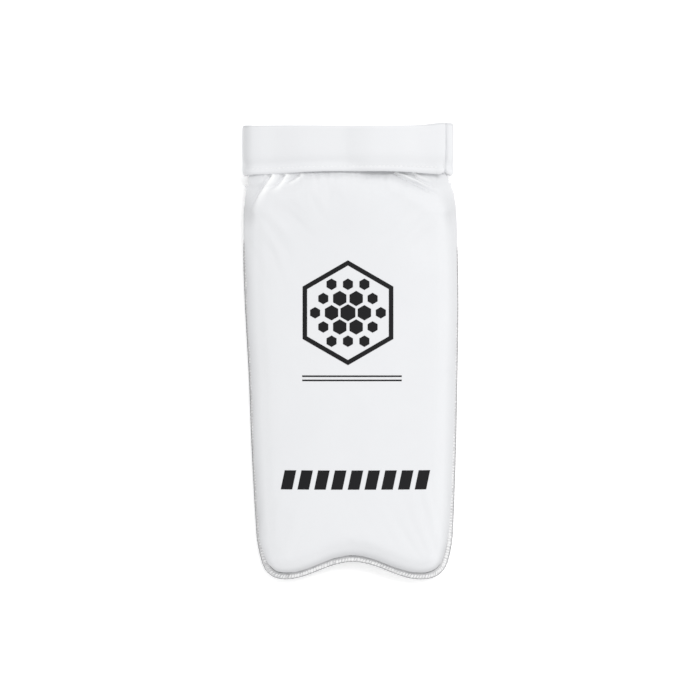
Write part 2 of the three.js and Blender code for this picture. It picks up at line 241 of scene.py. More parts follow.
def clothMaterial(name, look):
    material = bpy.data.materials.new(name)
    material.use_nodes = True
    tree = material.node_tree
    shader = tree.nodes["Principled BSDF"]
    place = tree.nodes.new("ShaderNodeTexCoord").outputs["Object"]
    tone = tree.nodes.new("ShaderNodeGroup")
    tone.node_tree = handlingGroup
    tree.links.new(place, tone.inputs["Vector"])
    tone.inputs["Clean"].default_value = look["clean"]
    tone.inputs["Handled"].default_value = look["handled"]
    tone.inputs["Patch"].default_value = look["patch"]
    tone.inputs["Amount"].default_value = look["amount"]
    color = tone.outputs["Color"]
    for label in ("paintedHighlight", "paintedShade"):  # painted highlight on crease ridges, and painted shade along rims, seams and turned edges
        if label in look:
            color = tinted(tree, color, label, look[label])
    tree.links.new(color, shader.inputs["Base Color"])
    weave = tree.nodes.new("ShaderNodeGroup")
    weave.node_tree = weaveGroup
    tree.links.new(place, weave.inputs["Vector"])
    weave.inputs["Threads"].default_value = look["threads"]
    grain = tree.nodes.new("ShaderNodeGroup")
    grain.node_tree = grainGroup
    tree.links.new(place, grain.inputs["Vector"])
    grain.inputs["Size"].default_value = look["grain"]
    height = mathNode(
        tree, "ADD",
        mathNode(tree, "MULTIPLY", weave.outputs[0], look["weaveShare"]),
        mathNode(tree, "MULTIPLY", grain.outputs[0], 1 - look["weaveShare"]),
    )
    bump = tree.nodes.new("ShaderNodeBump")
    bump.inputs["Strength"].default_value = look["bump"]
    bump.inputs["Distance"].default_value = look["depth"]
    tree.links.new(height, bump.inputs["Height"])
    tree.links.new(bump.outputs[0], shader.inputs["Normal"])
    rough = tree.nodes.new("ShaderNodeMapRange")
    rough.inputs["To Min"].default_value = look["rough"][0]
    rough.inputs["To Max"].default_value = look["rough"][1]
    tree.links.new(grain.outputs[0], rough.inputs["Value"])
    tree.links.new(rough.outputs[0], shader.inputs["Roughness"])
    shader.inputs["Specular IOR Level"].default_value = look["specular"]
    shader.inputs["Sheen Weight"].default_value = look["sheen"]
    shader.inputs["Sheen Roughness"].default_value = 0.5
    return material


# padded cover

# the lighter tint is a painted highlight for the crease ridges, the grey tint painted shade for the rim
coverLook = {
    "paintedHighlight": (0.84, 0.845, 0.85, 1), "paintedShade": (0.43, 0.435, 0.445, 1),
    "clean": (0.70, 0.707, 0.722, 1), "handled": (0.68, 0.687, 0.703, 1), "patch": 22.0, "amount": 0.6,
    "threads": 5200.0, "grain": 1300.0, "weaveShare": 0.35, "bump": 0.22, "depth": 0.12 * mm,
    "rough": (0.5, 0.66), "specular": 0.32, "sheen": 0.12,
}
coverShape = {
    "voxel": 1.8 * mm, "rounds": 6, "seamWall": 2 * mm, "seamGap": 0.7 * mm, "fill": 0.8,
    "pressure": 4.0, "frames": 20, "most": 1.6 * mm, "heldReach": 3 * mm,
    "threadMass": 0.3, "stiffness": 15.0, "bending": 0.5,
    "strapEdge": 101.3 * mm,  # where the strap's lower edge crosses
    "fineFrom": 72 * mm,  # the mesh is finer above this, where the cover is gathered
    "unevenness": 0.22 * mm, "unevenSize": 24 * mm,
    "wrinkleHeight": 0.28 * mm, "wrinkleReach": 9 * mm,
    "flareFrom": 25 * mm, "flareTo": 52 * mm, "rimFull": 0.9 * mm, "rimReach": 7 * mm,
    "flankFrom": 80 * mm, "flankOut": 42 * mm, "flankRounds": 14, "lastRounds": 2,
    "cornerFrom": 52 * mm, "cornerLow": 93 * mm, "cornerHigh": 105 * mm, "cornerRounds": 8,
    "roll": 0.28, "rollReach": 8.5 * mm, "rollFade": 75 * mm, "rollStop": 95 * mm,
    "gatheredFrom": 80 * mm, "gatheredTo": 97 * mm, "gatheredShare": 0.75,
    # painted shade along the rim: its reach and rise, and its strength on the left, the right and the wrist
    # end
    "paintedShadeReach": 5 * mm, "paintedShadeRise": 9.5 * mm, "paintedShadeLeft": 1.0, "paintedShadeRight": 0.5, "paintedShadeEnd": 0.85,
}
# The reach of the gathered cloth on either side, in mm, at distances along the guard.
reachRows = [
    {"y": 52, "left": -61.6, "right": 61.4},
    {"y": 67, "left": -62.0, "right": 61.4},
    {"y": 83, "left": -61.7, "right": 60.8},
    {"y": 90, "left": -60.8, "right": 59.8},
    {"y": 95, "left": -59.9, "right": 58.1},
    {"y": 98, "left": -59.3, "right": 56.9},
    {"y": 103, "left": -58.6, "right": 56.2},
    {"y": 107, "left": -56.5, "right": 54},
    {"y": 116, "left": -50, "right": 47},
]
# Creases of the gathered cover: points in mm on the front, deepest at the strap, each with a soft ridge and
# a painted highlight beside it.
creaseRows = [
    {"points": [(-46.6, 101.5), (-51.0, 95.3), (-54.4, 90.5), (-57.2, 84.6), (-59.2, 78.0)],
     "depth": 2.1, "width": 1.0, "ridge": 0.7, "side": 1, "paintedHighlight": 1.0, "paintedHighlightWidth": 2.4},
    {"points": [(-38.4, 101.5), (-42.9, 96.2), (-46.4, 94.2), (-50.5, 92.0)],
     "depth": 1.7, "width": 0.9, "ridge": 0.6, "side": 1, "paintedHighlight": 1.0, "paintedHighlightWidth": 1.9},
    {"points": [(-30.2, 101.5), (-34.2, 99.2), (-36.7, 98.0), (-41.3, 96.0)],
     "depth": 1.1, "width": 0.9, "ridge": 0.4, "side": 1, "paintedHighlight": 0.7, "paintedHighlightWidth": 1.2},
    {"points": [(26.2, 101.6), (34.2, 97.8), (41.2, 94.7), (46.2, 92.0), (51.3, 89.2)],
     "depth": 1.7, "width": 0.65, "ridge": 0.9, "side": 1, "paintedHighlight": 1.0, "paintedHighlightWidth": 0.9},
    {"points": [(36.2, 101.4), (39.5, 98.5), (43.2, 96.7), (48.2, 94.6)],
     "depth": 1.0, "width": 0.8, "ridge": 0.5, "side": 1, "paintedHighlight": 0.6, "paintedHighlightWidth": 1.2},
]


def isSeam(pad, tape, point):  # a place on the thin flange: the tape is close, and so is its other side
    if tape.find_nearest(point)[3] > coverShape["seamGap"]:
        return False
    inward = Vector((point.x * 0.5, clamp(point.y, -80 * mm, 80 * mm), point.z)) - point
    inward.z = 0
    spot = point + inward.normalized() * coverShape["seamGap"] / 2
    low = pad.ray_cast(Vector((spot.x, spot.y, -10 * mm)), up)[0]
    high = pad.ray_cast(low + up * coverShape["seamGap"] / 2, up)[0] if low else None
    return high is not None and high.z - low.z < coverShape["seamWall"]


def largestGroup(faces):  # the largest set of these faces that are joined edge to edge
    left, largest = set(faces), []
    while left:
        group, waiting = [], [left.pop()]
        while waiting:
            face = waiting.pop()
            group.append(face)
            beside = {other for edge in face.edges for other in edge.link_faces} & left
            left -= beside
            waiting.extend(beside)
        largest = max(largest, group, key=len)
    return largest


def withoutSeam(made):  # takes off the thin seam flange, which the rim tape hides
    pad, tape = BVHTree.FromBMesh(made), treeOf(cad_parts["edge_binding"])
    seam = largestGroup([face for face in made.faces if isSeam(pad, tape, face.calc_center_median())])
    bmesh.ops.delete(made, geom=seam, context="FACES")
    bmesh.ops.bridge_loops(made, edges=[edge for edge in made.edges if edge.is_boundary])
    return made


def creaseAt(point):  # the height that the creases add at a point, and how much painted highlight the cloth gets there
    total, paintedHighlight = 0, 0
    for row in creaseRows:
        best = None
        points = [Vector((x * mm, y * mm)) for x, y in row["points"]]
        whole = sum((b - a).length for a, b in zip(points, points[1:]))
        gone = 0
        for a, b in zip(points, points[1:]):
            run = b - a
            share = clamp((point - a).dot(run) / run.length_squared)
            away = (point - a - run * share)
            if best is None or away.length < best[0]:
                side = 1 if run.cross(point - a) > 0 else -1
                best = (away.length, side, (gone + run.length * share) / whole)
            gone += run.length
        distance, side, along = best
        fade = (1 - ease(along, 0.35, 1.0)) * 0.8 + 0.2 * (1 - ease(along, 0.9, 1.0))
        width = row["width"] * mm * (1 + 0.6 * along)
        total -= row["depth"] * mm * fade * bell(distance, width)
        offset = distance * side * row["side"] - 1.8 * width
        total += row["ridge"] * mm * fade * bell(offset, 1.1 * width)
        paintedHighlight += row["paintedHighlight"] * (1 - ease(along, 0.2, 0.9)) * bell(offset, row["paintedHighlightWidth"] * mm)
    return total, clamp(paintedHighlight)


reachLines = [(52 + step * 0.5) * mm for step in range(125)]


def reachAt(y, side):  # the wanted reach at a distance along the guard
    for low, high in zip(reachRows, reachRows[1:]):
        if low["y"] * mm <= y < high["y"] * mm:
            share = (y / mm - low["y"]) / (high["y"] - low["y"])
            return (low[side] + (high[side] - low[side]) * share) * mm
    return None


def flareTable(made, side):  # by how much each line across the guard has to grow sideways
    tree = BVHTree.FromBMesh(made)
    outward = -1 if side == "left" else 1
    wanted = []
    for y in reachLines:
        starts = [Vector((outward * 80 * mm, y, z * mm)) for z in range(3, 18)]
        hits = [tree.ray_cast(start, Vector((-outward, 0, 0)))[0] for start in starts]
        reach = max([hit.x * outward for hit in hits if hit], default=0)
        fade = ease(y, reachLines[0], 70 * mm) * (1 - ease(y, 106 * mm, reachLines[-1]))
        wanted.append(max(0, reachAt(y, side) * outward - reach) * fade)
    return wanted


def smoothFlanks(made, rounds):
    flanks = [vert for vert in made.verts
              if vert.co.y > coverShape["flankFrom"] and abs(vert.co.x) > coverShape["flankOut"]]
    smoothed(made, flanks, rounds)


def fillOut(cover):  # the cloth hangs over the rim tape, and flares where the strap gathers it
    tape = treeOf(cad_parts["edge_binding"])
    made = bmesh.new()
    made.from_mesh(cover.data)
    made.normal_update()
    for vert in made.verts:
        point, normal = vert.co.copy(), vert.normal.copy()
        place, _, _, gap = tape.find_nearest(point)
        over = ease(point.z - place.z, 0, 2 * mm)
        full = coverShape["rimFull"] * (1 - 0.8 * ease(-normal.x, 0.3, 0.8))
        outward = Vector((normal.x, normal.y, 0)) * over * (1 - ease(gap, 3 * mm, coverShape["rimReach"]))
        near = 1 - ease(math.hypot(point.x - place.x, point.y - place.y), 0, coverShape["rollReach"])
        loose = 1 - ease(point.y, coverShape["rollFade"], coverShape["rollStop"])
        drop = coverShape["roll"] * near * over * loose * (point.z - place.z)
        vert.co += outward * full - up * max(0, drop)
    smoothFlanks(made, coverShape["flankRounds"])
    flares = {side: flareTable(made, side) for side in ("left", "right")}
    for vert in made.verts:
        point = vert.co
        place = (point.y - reachLines[0]) / (reachLines[1] - reachLines[0])
        if 0 <= place < len(reachLines) - 1:
            row = flares["right" if point.x > 0 else "left"]
            flare = row[int(place)] + (row[int(place) + 1] - row[int(place)]) * (place - int(place))
            flare *= ease(abs(point.x), coverShape["flareFrom"], coverShape["flareTo"])
            point.x += math.copysign(flare, point.x)
    smoothFlanks(made, coverShape["lastRounds"])
    made.to_mesh(cover.data)
    made.free()


def swell(cover):  # the filling presses the cloth out between the seam and the strap
    tape = treeOf(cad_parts["edge_binding"])
    held = cover.vertex_groups.new(name="held")
    for vert in cover.data.vertices:
        seamed = 1 - ease(tape.find_nearest(vert.co)[3], 0.8 * mm, coverShape["heldReach"])
        tucked = ease(vert.co.y, coverShape["strapEdge"] + 2 * mm, coverShape["strapEdge"] + 8 * mm)
        held.add([vert.index], max(seamed, tucked), "REPLACE")
    resting = [vert.co.copy() for vert in cover.data.vertices]
    cloth = cover.modifiers.new("swelling", "CLOTH")
    cloth.settings.vertex_group_mass = "held"
    cloth.settings.mass = coverShape["threadMass"]
    cloth.settings.quality = 6
    cloth.settings.tension_stiffness = cloth.settings.compression_stiffness = coverShape["stiffness"]
    cloth.settings.bending_stiffness = coverShape["bending"]
    cloth.settings.use_pressure = True
    cloth.settings.uniform_pressure_force = coverShape["pressure"]
    cloth.settings.effector_weights.gravity = 0
    cloth.collision_settings.use_collision = False
    for number in range(1, coverShape["frames"] + 1):
        bpy.context.scene.frame_set(number)
    applyModifiers(cover)
    bpy.context.scene.frame_set(1)
    for vert, rest in zip(cover.data.vertices, resting):
        move = vert.co - rest
        kept = coverShape["most"] * (1 - math.exp(-move.length / coverShape["most"]))
        vert.co = rest + move.normalized() * kept
    cover.vertex_groups.clear()


def moveCover(cover):  # unevenness, creases and the small wrinkles at the strap
    made = bmesh.new()
    made.from_mesh(cover.data)
    fine = [edge for edge in made.edges if min(v.co.y for v in edge.verts) > coverShape["fineFrom"]
            and max(v.co.y for v in edge.verts) < coverShape["strapEdge"] + 3 * mm
            and min(v.normal.z for v in edge.verts) > 0.1]
    bmesh.ops.subdivide_edges(made, edges=fine, cuts=1, use_grid_fill=True, smooth=0)
    made.normal_update()
    paintedHighlight = made.verts.layers.float.new("paintedHighlight")
    paintedShade = made.verts.layers.float.new("paintedShade")
    tape = treeOf(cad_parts["edge_binding"])
    moves = []
    for vert in made.verts:
        point, normal = vert.co, vert.normal
        move = noise.noise(point / coverShape["unevenSize"]) * coverShape["unevenness"]
        small = noise.noise(point / (0.35 * coverShape["unevenSize"]) + up * 7)
        move += small * coverShape["unevenness"] * 0.3
        front = ease(normal.z, 0.1, 0.6)
        if front and point.y > 70 * mm:
            crease, highlightShare = creaseAt(point.xy)
            move += front * crease * (1 - ease(point.y, 101 * mm, 104 * mm))
            # painted highlight: lighter cloth along the crease ridges that face the light
            vert[paintedHighlight] = front * highlightShare
            below = coverShape["strapEdge"] - point.y
            near = 1 - ease(below, 0, coverShape["wrinkleReach"])
            waves = noise.noise(Vector((point.x / (2.6 * mm), point.y / (14 * mm), 3)))
            move += front * near * waves * coverShape["wrinkleHeight"] * (1 + ease(-point.x, 0, 20 * mm))
        moves.append(move)
        # painted shade along the rim tape, strongest on the left flank that turns away from the light,
        # weaker where the strap gathers the cloth
        place = tape.find_nearest(point)[0]
        along = math.hypot(point.x - place.x, point.y - place.y)
        share = coverShape["paintedShadeLeft"] if point.x < 0 else coverShape["paintedShadeRight"]
        share += (coverShape["paintedShadeEnd"] - share) * (1 - ease(point.y, -115 * mm, -95 * mm))
        low = ease(point.z, place.z, place.z + mm)
        low *= 1 - ease(point.z, place.z, place.z + coverShape["paintedShadeRise"])
        gathered = coverShape["gatheredShare"] * \
            ease(point.y, coverShape["gatheredFrom"], coverShape["gatheredTo"])
        vert[paintedShade] = (share - share * gathered) * low * (1 - ease(along, 1.5 * mm, coverShape["paintedShadeReach"]))
    for vert, move in zip(made.verts, moves):
        vert.co += vert.normal * move
    corners = [vert for vert in made.verts if abs(vert.co.x) > coverShape["cornerFrom"]
               and coverShape["cornerLow"] < vert.co.y < coverShape["cornerHigh"]]
    smoothed(made, corners, coverShape["cornerRounds"])
    made.to_mesh(cover.data)
    made.free()


def buildCover():
    made = withoutSeam(nodeMesh("guard_pad", quads=False))
    cover = pieceFrom("pad_cover", made, clothMaterial("coverCloth", coverLook), "cover", "guard_pad")
    blocks = cover.modifiers.new("blocks", "REMESH")
    blocks.mode = "VOXEL"
    blocks.voxel_size = coverShape["voxel"]
    applyModifiers(cover)
    made = bmesh.new()
    made.from_mesh(cover.data)
    smoothed(made, made.verts, coverShape["rounds"])
    made.to_mesh(cover.data)
    made.free()
    swell(cover)
    fillOut(cover)
    smoothLevels(cover, 1)
    moveCover(cover)
    return cover


liningLook = {
    "clean": (0.66, 0.665, 0.675, 1), "handled": (0.62, 0.625, 0.635, 1), "patch": 35.0, "amount": 0.7,
    "threads": 2600.0, "grain": 900.0, "weaveShare": 0.3, "bump": 0.5, "depth": 0.25 * mm,
    "rough": (0.8, 0.92), "specular": 0.15, "sheen": 0.3,
}


def lineBack(cover):  # the side against the arm has a brushed lining, up to the seam
    tape = treeOf(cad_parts["edge_binding"])
    cover.data.materials.append(clothMaterial("liningCloth", liningLook))
    for face in cover.data.polygons:
        place, _, _, gap = tape.find_nearest(face.center)
        below = face.center.z < place.z if gap < coverShape["rimReach"] else face.normal.z < 0
        face.material_index = 1 if below and face.normal.z < 0.3 else 0


cover = buildCover()
lineBack(cover)
print("stage: cover", len(cover.data.polygons))


# stitches

threadLook = {
    "clean": (0.83, 0.83, 0.83, 1), "handled": (0.7, 0.7, 0.71, 1), "patch": 300.0, "amount": 0.8,
    "threads": 9000.0, "grain": 3000.0, "weaveShare": 0.5, "bump": 0.4, "depth": 0.08 * mm,
    "rough": (0.4, 0.55), "specular": 0.4, "sheen": 0.25,
}


beadMesh = bpy.data.meshes.new("bead")


def bead(made, start, finish, wide, tall, normal):  # one raised stitch from start to finish
    along = finish - start
    aside = normal.cross(along).normalized()
    lift = along.normalized().cross(aside) * -1
    if lift.dot(normal) < 0:
        lift = -lift
    turn = Matrix((along.normalized(), aside, lift)).transposed().to_4x4()
    size = Matrix.Diagonal((along.length / 2, wide, tall, 1))
    one = bmesh.new()
    bmesh.ops.create_uvsphere(one, u_segments=8, v_segments=5, radius=1,
                              matrix=Matrix.Translation((start + finish) / 2) @ turn @ size)
    one.to_mesh(beadMesh)
    one.free()
    made.from_mesh(beadMesh)


# elbow strap

strapLook = {
    # the grey tint is painted shade for the strap's turned edges
    "paintedShade": (0.3, 0.305, 0.315, 1),
    "clean": (0.71, 0.717, 0.732, 1), "handled": (0.69, 0.697, 0.713, 1), "patch": 26.0, "amount": 0.6,
    "threads": 4600.0, "grain": 1500.0, "weaveShare": 0.55, "bump": 0.22, "depth": 0.12 * mm,
    "rough": (0.55, 0.7), "specular": 0.28, "sheen": 0.18,
}
strapShape = {
    "levels": 3, "thick": 2.2 * mm, "wave": 0.12 * mm, "waveSize": 22 * mm,
    "layer": 3.8 * mm, "frontFrom": 4.5 * mm,
    "valleyAt": 5.4 * mm, "valleyWidth": 3.2 * mm, "valleyDepth": 1.1 * mm,
    "rollAt": 1.6 * mm, "rollWidth": 1.5 * mm, "rollHeight": 0.45 * mm,
    "seamAt": 3.2 * mm, "seamWidth": 0.5 * mm, "seamDepth": 0.18 * mm,
    "end": 54.1 * mm, "gapWidth": 0.8 * mm, "gapDepth": 1.5 * mm, "cornerRadius": 4.5 * mm,
    "cornerReach": 9 * mm, "cornerLift": 0.8 * mm,
    "droopReach": 7 * mm, "droopMost": 2.6 * mm, "droopGap": 0.15 * mm,
    "hiddenBack": 4.5 * mm, "hiddenReach": 11 * mm,
    "foldFrom": 53 * mm, "foldTo": 57.5 * mm, "foldFull": 0.75 * mm,
    "reach": 60 * mm, "step": 1 * mm,
    "middle": 115 * mm, "below": 90 * mm, "beyond": 140 * mm,
    "hemDrop": 0.9 * mm, "hemDropFrom": 15 * mm, "hemDropTo": 45 * mm,
    # painted shade on the strap's turned left edge, the strip past the free end, and the top edge
    "paintedShadeLeft": 0.8, "paintedShadeRight": 0.45, "paintedShadeTop": 0.25, "paintedShadeFrom": 62 * mm, "paintedShadeFade": 2.6 * mm,
    "paintedShadeLow": 6 * mm, "paintedShadeHigh": 12 * mm,
    "stitchPitch": 2.5 * mm, "stitchLong": 1.7 * mm, "stitchWide": 0.24 * mm, "stitchTall": 0.16 * mm,
}


def strapRows(tree, side, outside):  # an edge of the strap: its y at even steps of x
    rows = []
    x = -strapShape["reach"]
    while x <= strapShape["reach"]:
        off, on = outside, strapShape["middle"]
        for _ in range(12):
            between = (off + on) / 2
            if surfaceAt(tree, x, between, side):
                on = between
            else:
                off = between
        rows.append(on)
        x += strapShape["step"]
    return rows


def lowerEdge(rows, x):
    place = clamp((x + strapShape["reach"]) / strapShape["step"], 0, len(rows) - 1.001)
    index = int(place)
    return rows[index] + (rows[index + 1] - rows[index]) * (place - index)


def droopRow(tree, rows):  # how far the front hem sinks to lie on the cover
    under = treeOf(cover)
    row = []
    for index, y in enumerate(rows):
        x = -strapShape["reach"] + index * strapShape["step"]
        rest, hem = surfaceAt(under, x, y - 0.5 * mm), surfaceAt(tree, x, y + 1 * mm)
        sink = hem.z - strapShape["thick"] - rest.z - strapShape["droopGap"] if rest and hem else 0
        row.append(clamp(sink, 0, strapShape["droopMost"]))
    spans = [row[max(0, index - 3):index + 4] for index in range(len(row))]
    return [sum(span) / len(span) for span in spans]


def shapeStrap(strap):  # the hem, the pressed gap beside the free end, its curled corner, and painted shade on the turned edges
    tree = treeOf(strap)
    edges = {side: strapRows(tree, side, strapShape["below"]) for side in (1, -1)}
    tops = strapRows(tree, 1, strapShape["beyond"])
    droops = droopRow(tree, edges[1])
    made = bmesh.new()
    made.from_mesh(strap.data)
    made.normal_update()
    corner = Vector((strapShape["end"] - strapShape["cornerRadius"], 0))
    paintedShade = made.verts.layers.float.new("paintedShade")
    moves = []
    for vert in made.verts:
        point, normal = vert.co, vert.normal
        side = 1 if point.z > strapShape["frontFrom"] else -1
        above = point.y - lowerEdge(edges[side], point.x)
        shown = ease(normal.z * side, 0.2, 0.7)
        height = noise.noise(point / strapShape["waveSize"] + up * 3) * strapShape["wave"]
        valley = bell(above - strapShape["valleyAt"], strapShape["valleyWidth"])
        roll = bell(above - strapShape["rollAt"], strapShape["rollWidth"])
        seam = bell(above - strapShape["seamAt"], strapShape["seamWidth"])
        height -= shown * strapShape["valleyDepth"] * valley
        height += shown * strapShape["rollHeight"] * roll
        height -= shown * strapShape["seamDepth"] * seam
        past = point.x - strapShape["end"]
        if 0 < past < 3 * strapShape["gapWidth"] and normal.z > 0.3:
            height -= strapShape["gapDepth"] * bell(past, strapShape["gapWidth"])
        folded = ease(abs(point.x), strapShape["foldFrom"], strapShape["foldTo"])
        height += strapShape["foldFull"] * folded * ease(normal.x * math.copysign(1, point.x), 0.0, 0.6)
        move = normal * height
        top = surfaceAt(tree, point.x, max(point.y, lowerEdge(edges[1], point.x) + 3 * mm))
        if side == 1 and past < 0.3 * mm and top:
            if top.z - point.z < strapShape["layer"]:
                hem = 1 - ease(above, 0, strapShape["droopReach"])
                move -= up * lowerEdge(droops, point.x) * hem
                dropped = ease(point.x, strapShape["hemDropFrom"], strapShape["hemDropTo"])
                move.y -= strapShape["hemDrop"] * dropped * hem
            else:
                back = Vector((0, strapShape["hiddenBack"], 0))
                back *= 1 - ease(above, 0, strapShape["hiddenReach"])
                move += back * ease(strapShape["end"] - point.x, 0, 8 * mm) * ease(point.x, 0, 4 * mm)
        if point.x > strapShape["end"] - strapShape["cornerReach"] and past < 0.3 * mm and top:
            if top.z - point.z < strapShape["layer"]:
                away = math.hypot(past, above)
                move += up * strapShape["cornerLift"] * (1 - ease(away, 0, strapShape["cornerReach"]))
                corner.y = point.y - above + strapShape["cornerRadius"]
                reach = point.xy - corner
                if reach.x > 0 and reach.y < 0 and reach.length > strapShape["cornerRadius"]:
                    kept = reach.normalized() * strapShape["cornerRadius"] - reach
                    move += Vector((kept.x, kept.y, 0))
        moves.append(move)
        # painted shade where the strap's edges turn from the light
        fromLeft = max(0, point.x + strapShape["paintedShadeFrom"])
        turned = strapShape["paintedShadeLeft"] * math.exp(-fromLeft / strapShape["paintedShadeFade"])
        turned += strapShape["paintedShadeRight"] * ease(past, 3.3 * mm, 4.2 * mm)
        fromTop = lowerEdge(tops, point.x) - point.y
        high = strapShape["paintedShadeTop"] * (1 - ease(fromTop, 0.5 * mm, 1.6 * mm))
        vert[paintedShade] = clamp(turned * ease(point.z, strapShape["paintedShadeLow"], strapShape["paintedShadeHigh"]) + high)
    for vert, move in zip(made.verts, moves):
        vert.co += move
    made.to_mesh(strap.data)
    made.free()
    return edges


def hemStitches(strap, edges):
    tree = treeOf(strap)
    made = bmesh.new()
    for side, limits in ((1, (-57 * mm, 50 * mm)), (-1, (-50 * mm, 50 * mm))):
        x = limits[0]
        while x < limits[1]:
            ends = [surfaceAt(tree, place, lowerEdge(edges[side], place) + strapShape["seamAt"], side)
                    for place in (x, x + strapShape["stitchLong"])]
            if None not in ends:
                bead(made, *ends, strapShape["stitchWide"], strapShape["stitchTall"], up * side)
            x += strapShape["stitchPitch"]
    return pieceFrom("strap_stitches", made, clothMaterial("hemThread", threadLook), "strap")


def buildStrap():
    cloth = clothMaterial("strapCloth", strapLook)
    strap = pieceFrom("strap_cloth", nodeMesh("elbow_strap"), cloth, "strap", "elbow_strap")
    smoothLevels(strap, strapShape["levels"])
    edges = shapeStrap(strap)
    return strap, hemStitches(strap, edges)


strap, hem = buildStrap()
print("stage: strap", len(strap.data.polygons))


# rim tape

tapeLook = {
    "clean": (0.62, 0.62, 0.625, 1), "handled": (0.5, 0.5, 0.51, 1), "patch": 220.0, "amount": 0.9,
    "threads": 7000.0, "grain": 1800.0, "weaveShare": 0.8, "bump": 0.4, "depth": 0.1 * mm,
    "rough": (0.6, 0.75), "specular": 0.25, "sheen": 0.2,
}
# dark thread as painted shade along the tape's outer rim and its seam against the cover, also used for two
# ticks at the join
edgeShadeAndTickLook = {
    "clean": (0.16, 0.16, 0.165, 1), "handled": (0.34, 0.34, 0.345, 1), "patch": 400.0, "amount": 1.0,
    "threads": 9000.0, "grain": 3000.0, "weaveShare": 0.5, "bump": 0.4, "depth": 0.08 * mm,
    "rough": (0.6, 0.75), "specular": 0.3, "sheen": 0.1,
}
ribShape = {
    "pitch": 1.7 * mm, "slant": 0.6, "from": 0.8 * mm, "to": 3.1 * mm,
    "wide": 0.75 * mm, "tall": 0.26 * mm, "samples": 1500, "loose": 0.45, "seed": 5,
    "join": -36.7 * mm, "flatTall": 0.45,  # left of the join the ribs lie flatter
    "edgePitch": 2.2 * mm, "edgeLong": 2.5 * mm, "edgeThick": 0.24 * mm, "innerThick": 0.15 * mm,
    "edgeInset": 3.75 * mm, "outerInset": 0.3 * mm,
}


def tapeOutline(tree):  # the tape's outer edge, found from above
    points = []
    for index in range(ribShape["samples"]):
        angle = 2 * math.pi * index / ribShape["samples"]
        ray = Vector((math.sin(angle), -math.cos(angle), 0))
        near, far = 30 * mm, 150 * mm
        reach = far
        while reach > near and tree.ray_cast(ray * reach + up * 60 * mm, -up)[0] is None:
            reach -= 1.5 * mm
        low, high = reach, reach + 1.5 * mm
        for _ in range(7):
            middle = (low + high) / 2
            if tree.ray_cast(ray * middle + up * 60 * mm, -up)[0] is None:
                high = middle
            else:
                low = middle
        points.append(ray * low)
    return points


def spaced(points, pitch, closed=True):  # places at an even pitch along a line, with its direction there
    if closed:
        points = points + points[:1]
    lengths = [(b - a).length for a, b in zip(points, points[1:])]
    count = max(2, round(sum(lengths) / pitch))
    pitch = sum(lengths) / count
    places, gone, target = [], 0.0, 0.0
    for (a, b), length in zip(zip(points, points[1:]), lengths):
        while length > 0 and target <= gone + length and len(places) < count:
            share = (target - gone) / length
            places.append((a.lerp(b, share), (b - a).normalized()))
            target += pitch
        gone += length
    return places


def inwardOf(place, heading):
    inward = Vector((-heading.y, heading.x, 0))
    return inward if inward.dot(-place) > 0 else -inward


def buildRibs(tree, outline):
    dice = random.Random(ribShape["seed"])
    ribs = bmesh.new()
    for place, heading in spaced(outline, ribShape["pitch"]):
        inward = inwardOf(place, heading)
        leaning = (inward + Vector((1, 0, 0)) * ribShape["slant"] * abs(heading.x)).normalized()
        shake = [1 + ribShape["loose"] * (2 * dice.random() - 1) for _ in range(4)]
        ends = []
        for inset in (ribShape["from"] * shake[0], ribShape["to"] * (0.9 + 0.1 * shake[1])):
            spot = place + leaning * inset
            ends.append((surfaceAt(tree, spot.x, spot.y), surfaceAt(tree, spot.x, spot.y, -1)))
        if None in ends[0] or None in ends[1]:
            continue
        (topOut, lowOut), (topIn, lowIn) = ends
        wide, tall = ribShape["wide"] * shake[2], ribShape["tall"] * shake[3]
        if place.x < ribShape["join"]:
            tall *= ribShape["flatTall"]
        bead(ribs, topOut, topIn, wide, tall, up)
        bead(ribs, lowOut, lowIn, wide, tall, -up)
        bead(ribs, topOut, lowOut, wide, tall, -inward)
    return pieceFrom("rim_stitches", ribs, clothMaterial("ribThread", threadLook), "binding")


def buildEdgeShadeAndTicks(tree, outline):  # dark thread along the tape's edges, painted shade standing in for the shaded outer rim and the seam shadow against the cover, and two dark ticks at its join
    made = bmesh.new()
    thick = ribShape["edgeThick"]
    for place, heading in spaced(outline, ribShape["edgePitch"]):
        inward = inwardOf(place, heading)
        along = heading * ribShape["edgeLong"] / 2
        insets = (ribShape["outerInset"], thick), (ribShape["edgeInset"], ribShape["innerThick"])
        for inset, wide in insets:
            for side in (1, -1):
                middle = place + inward * inset
                ends = [surfaceAt(tree, spot.x, spot.y, side) for spot in (middle - along, middle + along)]
                if None not in ends:
                    bead(made, *ends, wide, wide, up * side)
    for shift in (0, 1.1 * mm):
        x = ribShape["join"] + shift
        found = [place for place in outline if place.y < 0 and abs(place.x - x) < 0.6 * mm]
        if found:
            y = found[0].y
            ends = surfaceAt(tree, x, y + 0.5 * mm), surfaceAt(tree, x, y + 3.4 * mm)
            bead(made, *ends, thick, 1.6 * thick, up)
    return pieceFrom("rim_edge_shade_and_ticks", made, clothMaterial("edgeShadeAndTickThread", edgeShadeAndTickLook), "binding")


def buildTape():
    cloth = clothMaterial("tapeCloth", tapeLook)
    tape = pieceFrom("rim_tape", nodeMesh("edge_binding"), cloth, "binding", "edge_binding")
    smoothLevels(tape, 1)
    tree = treeOf(tape)
    outline = tapeOutline(tree)
    return tape, buildRibs(tree, outline), buildEdgeShadeAndTicks(tree, outline)


tape, ribs, edges = buildTape()
print("stage: tape", len(ribs.data.polygons), len(edges.data.polygons))


# prints: a plain pattern of the builder's own

